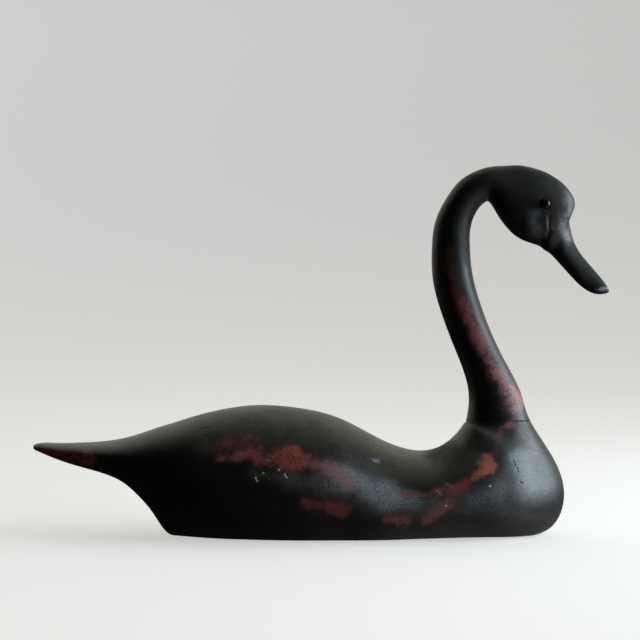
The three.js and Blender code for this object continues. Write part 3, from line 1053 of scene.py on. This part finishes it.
def makeNeckAndHead(materials):
    bm, rings = loftBetween(jointStation, len(stations) - 1)
    evenRoot(bm)
    pressSurface(bm, headDepth)
    rim = cutLevel(bm, rings[:joint["rings"]], jointHeight(1), False)
    foot = closeEnd(bm, rim, Vector((0, 0, -1)), ends["joint"])
    tip = sectionAt(travel[-1])
    across = Vector((tip[1] - tip[3], 0, tip[2] - tip[0])).normalized()
    bmesh.ops.translate(bm, verts=rings[-1], vec=-endLength("bill") * across)
    closeEnd(bm, rings[-1], across, ends["bill"])
    pressSockets(bm)
    pressMarks(bm)
    piece = finishPiece(bm, "carved_neck_and_head", materials, ["neck_and_head"], [foot])
    addRubbingAndLight(piece.data)
    print("neck and head carved,", len(piece.data.polygons), "faces")


def spinOutline(bm, outline, turns, merge):
    # an outline of (out, up) pairs is spun round the z axis
    verts = [bm.verts.new((out, 0, up)) for out, up in outline]
    edges = [bm.edges.new(pair) for pair in zip(verts, verts[1:])]
    bmesh.ops.spin(
        bm,
        geom=verts + edges,
        cent=(0, 0, 0),
        axis=(0, 0, 1),
        angle=2 * pi,
        steps=turns,
        use_merge=True,
    )
    bmesh.ops.remove_doubles(bm, verts=bm.verts[:], dist=merge)


def makeEye(name, node, side, material):
    bm = bmesh.new()
    radius, edge, depth = eye["diameter"] / 2, eye["edge"], eye["depth"]
    outline = [(0, -depth), (radius - edge, -depth), (radius, edge - depth), (radius, 0)]
    for i in range(1, eye["domeSteps"]):
        turn = pi / 2 * i / eye["domeSteps"]
        outline.append((radius * cos(turn), eye["dome"] * sin(turn)))
    outline.append((0, eye["dome"]))
    spinOutline(bm, outline, eye["turns"], eye["merge"])
    fromPupil = bm.verts.layers.float.new("fromPupil")
    for vert in bm.verts:
        vert[fromPupil] = vert.co.xy.length / radius
    place, normal = eyeSpot(side)
    turn = Vector((0, 0, 1)).rotation_difference(normal).to_matrix()
    bmesh.ops.rotate(bm, verts=bm.verts[:], cent=(0, 0, 0), matrix=turn)
    bmesh.ops.translate(bm, verts=bm.verts[:], vec=place - normal * eye["sink"])
    finishPiece(bm, name, [material], [node])
    print(name, "set")


studio = {
    "window": {
        "place": (1.95, -0.20, 0.75),
        "aim": (0.1, 0, 0.25),
        "size": (1.35, 1.35),
        "power": 46,
        "colour": (0.76, 0.90, 1.0),
    },
    "background": (0.70, 0.705, 0.70),
    "shade": (0.006, 0.0065, 0.007),  # the dim room all round
    "glows": {  # each has its colour, and where it comes up along two of the three directions
        "above": {"colour": (0.19, 0.19, 0.17), "up": (0.35, 0.95), "aside": (-0.5, 0.5)},
        "below": {"colour": (0.40, 0.40, 0.39), "up": (0.05, -0.5), "aside": (-0.05, 0.5)},
        "behind": {"colour": (0.70, 0.69, 0.62), "back": (-0.05, 0.5), "up": (-0.12, 0.08)},
    },
    "floor": {"colour": (0.62, 0.615, 0.60), "rough": 0.9, "specular": 0.1, "glow": 0.85},
    "cove": {"radius": 3.2, "bend": 1.6, "bendSteps": 12, "height": 6.0, "turns": 96, "merge": 1e-5},
}


def makeWindow():
    given = studio["window"]
    data = bpy.data.lights.new("window", "AREA")
    data.shape = "RECTANGLE"
    data.size, data.size_y = given["size"]
    data.energy = given["power"]
    data.color = given["colour"]
    light = bpy.data.objects.new("window", data)
    light.location = given["place"]
    aim = Vector(given["aim"]) - Vector(given["place"])
    light.rotation_euler = aim.to_track_quat("-Z", "Y").to_euler()
    light.visible_camera = False
    bpy.context.scene.collection.objects.link(light)


def makeRoomLight():
    # what the bird mirrors: a glow from above and below, stronger on the window's side, and a pale
    # one behind it
    world = bpy.data.worlds.new("studio")
    world.use_nodes = True
    tree = world.node_tree
    tree.nodes.clear()
    looking = addNode(tree, "ShaderNodeTexCoord").outputs["Generated"]
    split = addNode(tree, "ShaderNodeSeparateXYZ", {0: looking}).outputs
    ways = dict(zip(("aside", "back", "up"), split))
    colour = studio["shade"]
    for glow in studio["glows"].values():
        one, two = (spread(tree, ways[name], *glow[name]) for name in ways if name in glow)
        colour = mixed(tree, reckon(tree, "MULTIPLY", one, two), colour, glow["colour"])
    seen = addNode(tree, "ShaderNodeLightPath").outputs["Is Camera Ray"]
    colour = mixed(tree, seen, colour, studio["background"])
    light = addNode(tree, "ShaderNodeBackground", {"Color": colour})
    tree.links.new(light.outputs[0], addNode(tree, "ShaderNodeOutputWorld").inputs["Surface"])
    bpy.context.scene.world = world


def paleFloor():
    given = studio["floor"]
    material, _, surface = newMaterial("paleFloor")
    surface.inputs["Base Color"].default_value = (*given["colour"], 1)
    surface.inputs["Roughness"].default_value = given["rough"]
    surface.inputs["Specular IOR Level"].default_value = given["specular"]
    surface.inputs["Emission Color"].default_value = (*given["colour"], 1)
    surface.inputs["Emission Strength"].default_value = given["glow"]
    return material


def makeCove():
    # a pale floor that curves up all round, seen by the camera and not mirrored in the bird
    bm = bmesh.new()
    given = studio["cove"]
    outline = [(0, 0), (given["radius"], 0)]
    for i in range(given["bendSteps"]):
        turn = pi / 2 * (i + 1) / given["bendSteps"]
        outline.append((given["radius"] + given["bend"] * sin(turn), given["bend"] * (1 - cos(turn))))
    outline.append((given["radius"] + given["bend"], given["height"]))
    spinOutline(bm, outline, given["turns"], given["merge"])
    bmesh.ops.recalc_face_normals(bm, faces=bm.faces[:])
    bmesh.ops.reverse_faces(bm, faces=bm.faces[:])
    for one in bm.faces:
        one.smooth = True
    cove = newObject(bm, "paleFloor", [paleFloor()])
    cove.visible_glossy = cove.visible_diffuse = cove.visible_shadow = False


makeCamera()
ragged = raggedEdge()
grain = woodGrain()
paintedWood = rubbedAndLitPaint(ragged, grain)
planedWood = planedBase(ragged, grain)
glass = eyeGlass()
print("paint, base wood and glass mixed")
makeBody([paintedWood, planedWood])
makeNeckAndHead([paintedWood])
makeEye("glass_eye_left", "eye_left", 1, glass)
makeEye("glass_eye_right", "eye_right", -1, glass)
makeWindow()
makeRoomLight()
makeCove()
bpy.context.scene.view_settings.view_transform = "Standard"
print("studio lit")
